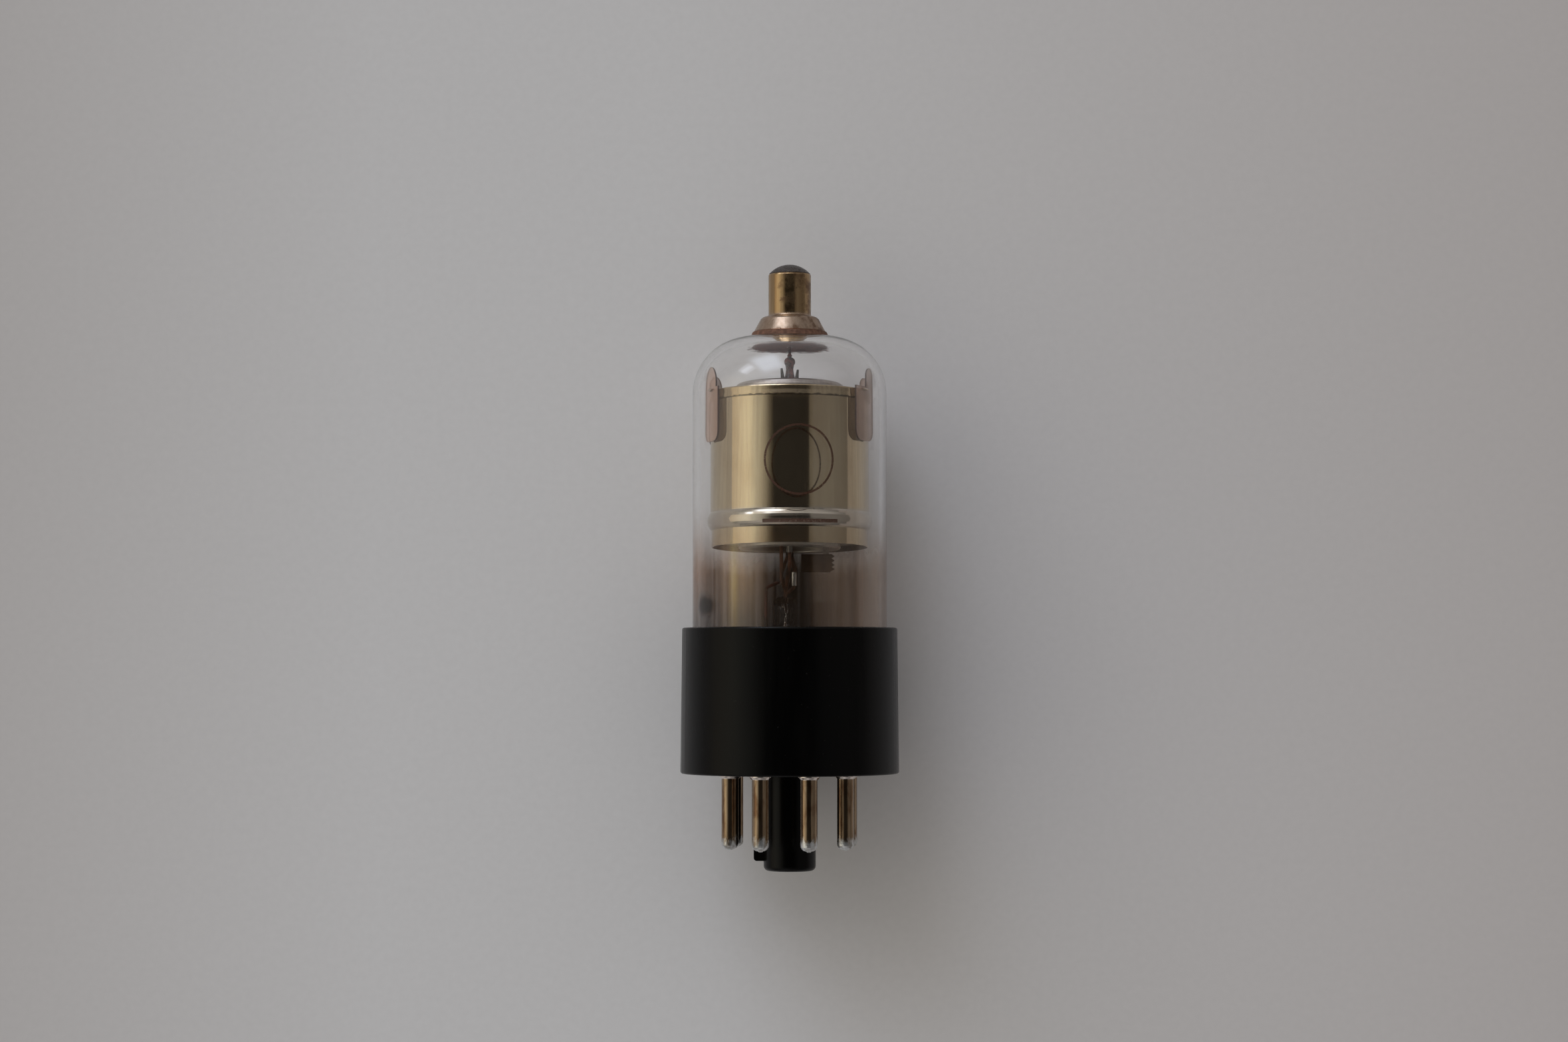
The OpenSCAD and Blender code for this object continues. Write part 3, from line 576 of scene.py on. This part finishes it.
def cap_metal():
    """Brassy drawn metal, brown with tarnish at the right, and a pinkish silver skirt."""
    look = Look("cap_metal", metallic=1.0)
    where = look.place()
    split = look.axes(where)
    drawn = look.noise(look.stretched(1, 1, 0.08), 2.2, 3)
    tarnish = look.noise(where, 0.5, 6, 0.6)
    pits = look.spread(look.noise(where, 2.8, 1), 0.75, 0.79)
    brass = look.patches(drawn, 0.3, 0.7, (0.46, 0.32, 0.175), (0.36, 0.235, 0.125))
    skirt = look.patches(drawn, 0.3, 0.7, (0.44, 0.33, 0.25), (0.34, 0.24, 0.17))
    on_skirt = look.spread(split["Z"], SKIRT_Z + 0.6, SKIRT_Z + 0.1)
    clean = look.mix(on_skirt, brass, skirt)
    leaning = look.math("ADD", tarnish, look.spread(split["X"], -3, 3, -0.12, 0.06))
    old = look.mix(look.spread(leaning, 0.5, 0.64, 0, 0.85), clean, (0.15, 0.085, 0.05))
    lip = look.spread(split["Z"], SKIRT_LIP_Z, SKIRT_LIP_Z - 0.2)
    old = look.mix(lip, old, (0.13, 0.045, 0.02))
    look.set("Base Color", look.mix(pits, old, (0.03, 0.02, 0.015)))
    dull = look.math("MULTIPLY", on_skirt, 0.12)
    look.set("Roughness", look.math("ADD", look.spread(leaning, 0.4, 0.65, 0.15, 0.36), dull))
    return look.material


def height_on_can(look):
    """The height along the leaning can's own axis."""
    split = look.axes(look.place())
    lean = math.radians(LEAN)
    return look.math("ADD", look.math("MULTIPLY", split["Z"], math.cos(lean)),
                     look.math("MULTIPLY", split["Y"], math.sin(lean)))


def screen_metal(name, light, dark, rough):
    """Drawn metal with fine streaks along the tube's axis, paler and whiter on the rolled bead, a
    painted highlight that whitens its shine.
    """
    look = Look(name, metallic=1.0)
    streak = look.noise(look.stretched(1, 1, 0.01), 2.2, 5)
    cloud = look.noise(look.stretched(1, 1, 0.5), 0.25, 4)
    warm = [c * k for c, k in zip(dark, (0.82, 0.72, 0.62))]
    base = look.patches(streak, 0.3, 0.7, light, dark)
    base = look.mix(look.spread(cloud, 0.45, 0.75, 0, 0.5), base, warm)
    off_bead = look.math("ABSOLUTE", look.math("SUBTRACT", height_on_can(look), BEAD_Z))
    # Painted highlight: the metal is whiter on the bead so that its shine there looks white
    bead_painted_highlight = look.spread(off_bead, BEAD_H * 0.65, BEAD_H * 0.45, 0, 0.75)
    look.set("Base Color", look.mix(bead_painted_highlight, base, (0.55, 0.51, 0.46)))
    look.set("Roughness", look.spread(streak, 0.3, 0.7, rough, rough + 0.05))
    return look.material


def lid_metal():
    """A brassy rim with a painted shadow along its lower edge, where it overlaps the can, and a
    greyer top.
    """
    look = Look("lid_metal", metallic=1.0)
    height = height_on_can(look)
    streak = look.noise(look.stretched(1, 1, 0.01), 2.2, 5)
    uneven = look.noise(look.place(), 1.6, 4)
    top = look.patches(streak, 0.3, 0.7, (0.5, 0.45, 0.42), (0.4, 0.355, 0.33))
    rim = look.patches(streak, 0.3, 0.7, (0.6, 0.49, 0.33), (0.46, 0.365, 0.24))
    lower = look.math("ADD", height, look.spread(uneven, 0.35, 0.65, -0.12, 0.12))
    # Painted shadow: a dark ragged band along the rim's lower edge stands in for the shade in the
    # gap over the can
    painted_gap_shadow = look.spread(lower, RIM_LOW + 0.2, RIM_LOW + 0.08, 0, 0.9)
    rim = look.mix(painted_gap_shadow, rim, (0.08, 0.055, 0.035))
    look.set("Base Color", look.mix(look.spread(height, RIM_TOP - 0.1, RIM_TOP), rim, top))
    look.set("Roughness", look.spread(height, RIM_TOP - 0.1, RIM_TOP, 0.14, 0.36))
    return look.material


def mica():
    """Clear brown sheets in layers."""
    look = Look("mica", roughness=0.22, specular_ior_level=0.5)
    layers = look.noise(look.stretched(1, 1, 0.4), 0.9, 5)
    look.set("Base Color", look.patches(layers, 0.3, 0.7, (0.47, 0.29, 0.2), (0.31, 0.19, 0.13)))
    look.set("Alpha", look.spread(layers, 0.3, 0.7, 0.45, 0.65))
    look.bump(look.noise(look.place(), 1.5, 3), 0.00002, 0.4)
    return look.material


def mica_edges():
    return Look("mica_edges", base_color=(0.05, 0.026, 0.02), roughness=0.5).material


def cement():
    look = Look("cement", roughness=0.8)
    lumps = look.noise(look.place(), 1.8, 5)
    look.set("Base Color", look.patches(
        lumps, 0.35, 0.65, (0.22, 0.105, 0.062), (0.1, 0.045, 0.026)))
    look.bump(lumps, 0.0001, 0.4)
    return look.material


def stain():
    """Reddish brown with a ragged edge, all round the tube's axis."""
    look = Look("crown_stain", roughness=0.7)
    where = look.place()
    split = look.axes(where)
    lumps = look.noise(where, 0.8, 5)
    squares = [look.math("MULTIPLY", split[axis], split[axis]) for axis in "XY"]
    from_axis = look.math("SQRT", look.math("ADD", *squares))
    ragged = look.math("ADD", from_axis, look.spread(lumps, 0.3, 0.7, -0.9, 0.9))
    look.set("Base Color", look.patches(
        lumps, 0.35, 0.65, (0.16, 0.036, 0.022), (0.08, 0.017, 0.011)))
    look.set("Alpha", look.spread(ragged, STAIN_R - 0.2, STAIN_R - 1.4, 0, 0.9))
    return look.material


def lead_wire(name, clean, rust):
    look = Look(name, roughness=0.5, specular_ior_level=0.3)
    patch = look.noise(look.stretched(1, 1, 0.4), 0.8, 4)
    look.set("Base Color", look.patches(patch, 0.42, 0.6, clean, rust))
    return look.material


def dull_metal(name, colour, shade, rough, metallic=1.0):
    look = Look(name, metallic=metallic, roughness=rough)
    grain = look.noise(look.place(), 2.5, 4)
    look.set("Base Color", look.patches(grain, 0.35, 0.65, colour, shade))
    look.bump(grain, 0.00003, 0.4)
    return look.material


def dress(material, *names):
    for name in names:
        obj = frame["nodes"].get(name) or bpy.data.objects[name]
        obj.data.materials.clear()
        obj.data.materials.append(material)


def dress_some(name, material, takes):
    """Gives those faces of a dressed node that the test takes a material of their own."""
    mesh = frame["nodes"][name].data
    mesh.materials.append(material)
    for face in mesh.polygons:
        if takes(face):
            face.material_index = 1


def edge_faces(name, material):
    """Dresses the narrow faces round a thin plate."""
    polygons = frame["nodes"][name].data.polygons
    across = max(polygons, key=lambda face: face.area).normal.copy()
    dress_some(name, material, lambda face: abs(face.normal.dot(across)) < 0.5)


def inside_faces(name, material):
    """Dresses the faces that look towards the tube's axis."""
    upright = TUBE.inverted() @ frame["nodes"][name].matrix_world

    def looks_in(face):
        out = upright @ face.center
        return (upright.to_3x3() @ face.normal).dot(Vector((out.x, out.y, 0))) < 0

    dress_some(name, material, looks_in)


def like(part):
    return [n for n in frame["nodes"] if part in n]


def dress_outside():
    dress(phenolic(), "base_shell")
    dress(pin_metal(), *like("contact_pin_"))
    dress(solder("tip_solder_finish", 2.0, 2, (0.78, 0.8, 0.81), (0.45, 0.44, 0.42)), "tip_solder")
    dress(solder("cap_solder_finish", 5.0, 4, (0.16, 0.14, 0.13), (0.06, 0.052, 0.048)),
          "cap_solder")
    dress(cap_metal(), "top_cap")
    dress(cement(), "cap_cement", "base_cement")
    dress(stain(), "crown_stain")
    dress(bulb_glass(), "glass_envelope")
    dress(stem_glass(), "glass_stem")
    dress(front_smoke(), "front_deposit")
    dress(back_smoke(), "back_deposit")
    dress(print_ink(), "printed_ring", "printed_bar")


def dress_mount():
    """The can with what carries it, and the electrodes inside it."""
    dress(bead_glass(), "lead_bead")
    dress(screen_metal("can_metal", (0.64, 0.54, 0.37), (0.54, 0.44, 0.3), 0.06), "shield_can")
    # Painted shade: the faces inside the can are dark to stand in for the shade within it
    inside_faces("shield_can", dull_metal(
        "can_inside_painted_shade", (0.06, 0.045, 0.035), (0.03, 0.022, 0.018), 0.4))
    dress(lid_metal(), "shield_lid")
    dress(screen_metal("floor_metal", (0.95, 0.9, 0.82), (0.85, 0.79, 0.7), 0.38), "shield_floor")
    dress(mica(), "top_mica", "bottom_mica", *like("mica_bumper_"))
    edges = mica_edges()
    for name in like("mica_bumper_"):
        edge_faces(name, edges)
    dress(lead_wire("grid_wire", (0.03, 0.02, 0.018), (0.16, 0.04, 0.03)), "grid_lead")
    dress(lead_wire("stem_wire", (0.02, 0.011, 0.007), (0.13, 0.055, 0.03)),
          *like("stem_lead_"), "shield_post")
    dress(lead_wire("bent_wire", (0.004, 0.003, 0.003), (0.05, 0.006, 0.004)), "stem_lead_1")
    dress(dull_metal("collar_metal", (0.1, 0.08, 0.065), (0.035, 0.027, 0.022), 0.35),
          "lead_collar")
    dress(dull_metal("getter_metal", (0.016, 0.011, 0.009), (0.005, 0.004, 0.003), 0.6), "getter")
    dress(dull_metal("electrode", (0.3, 0.28, 0.25), (0.2, 0.18, 0.16), 0.4),
          "anode", "grid_strap", "getter_strap", *like("_rod_"))
    dress(dull_metal("bright_wire", (0.75, 0.73, 0.7), (0.6, 0.57, 0.52), 0.25),
          "weld_sleeve", "suppressor_grid", "screen_grid", "control_grid")
    dress(dull_metal("white_coating", (0.8, 0.79, 0.76), (0.7, 0.69, 0.66), 0.8, 0.0),
          "cathode", "heater")


# Surroundings


def camera():
    data = bpy.data.cameras.new("camera")
    data.sensor_width = SENSOR
    data.lens = FOCAL_PX / PHOTO_W * SENSOR
    obj = bpy.data.objects.new("camera", data)
    bpy.context.scene.collection.objects.link(obj)
    over = TUBE @ Vector((CAMERA_X, 0, CAMERA_ALONG))
    obj.location = over + Vector((0, 0, CAMERA_UP * MM))
    data.clip_start, data.clip_end = CLIP
    bpy.context.scene.camera = obj


def floor():
    half = FLOOR_SIZE / 2
    mesh = bpy.data.meshes.new("paper")
    mesh.from_pydata([(-half, -half, 0), (half, -half, 0), (half, half, 0), (-half, half, 0)],
                     [], [(0, 1, 2, 3)])
    obj = bpy.data.objects.new("paper", mesh)
    bpy.context.scene.collection.objects.link(obj)
    look = Look("paper", roughness=0.9, specular_ior_level=0.1)
    where = look.node("TexCoord").outputs["Object"]
    side = look.axes(where)["X"]
    grain = look.noise(where, 900, 3)
    # Painted shade: the paper is darker at the left and at the right than near the tube
    shaded_tone = look.mix(look.spread(side, *PAPER_SHADE_LEFT_X), (0.72, 0.68, 0.66), (0.91, 0.895, 0.895))
    shaded_tone = look.mix(look.spread(side, *PAPER_SHADE_RIGHT_X), shaded_tone, (0.72, 0.67, 0.65))
    flecks = look.spread(grain, 0.3, 0.7, 0, 0.04)
    look.set("Base Color", look.mix(flecks, shaded_tone, (0.3, 0.29, 0.28)))
    mesh.materials.append(look.material)


def window_pane(look, towards, at, width, height, soft):
    """How much of one pane of the window there is in each direction."""
    middle = Vector(at).normalized()
    level = middle.cross(Vector((0, 0, 1))).normalized()
    rise = level.cross(middle)
    share = look.smooth(look.measure("DOT_PRODUCT", towards, middle), 0, 0.2)
    for along, size in ((level, width), (rise, height)):
        off = look.math("ABSOLUTE", look.measure("DOT_PRODUCT", towards, along))
        inside = look.smooth(off, size * (0.5 + soft), size * (0.5 - soft))
        share = look.math("MULTIPLY", share, inside)
    return share


def surroundings():
    """A room: a bright wall and a window at the left, a dark patch overhead, a dim right side."""
    world = bpy.data.worlds.new("room")
    bpy.context.scene.world = world
    look = Nodes(world)
    towards = look.node("TexCoord").outputs["Generated"]
    split = look.axes(towards)
    turn = look.spread(look.math("ARCTAN2", split["X"], split["Z"]), -math.pi, math.pi)
    sides = look.ramp(turn, ROOM_SIDES)
    ends = look.ramp(turn, ROOM_ENDS)
    for axis, begins, full, strength, colour in DARKER_ENDS:
        darker = look.mix(strength, ends, colour)
        ends = look.mix(look.smooth(split[axis], begins, full), ends, darker)
    past_ends = look.smooth(look.math("ABSOLUTE", split["Y"]), *ENDS_BEGIN)
    room = look.mix(past_ends, sides, ends)
    for *pane, colour in PANES:
        room = look.mix(window_pane(look, towards, *pane), room, colour)
    background = look.first("BACKGROUND")
    look.fill(background.inputs["Color"], room)
    look.fill(background.inputs["Strength"], WORLD_STRENGTH)


camera()
floor()
surroundings()
glass_envelope()
smoky_deposit("front_deposit", 180, 360)
smoky_deposit("back_deposit", 0, 180)
crown_stain()
printed_ring()
printed_bar()
dress_outside()
dress_mount()

scene = bpy.context.scene
scene.view_settings.view_transform = "Standard"
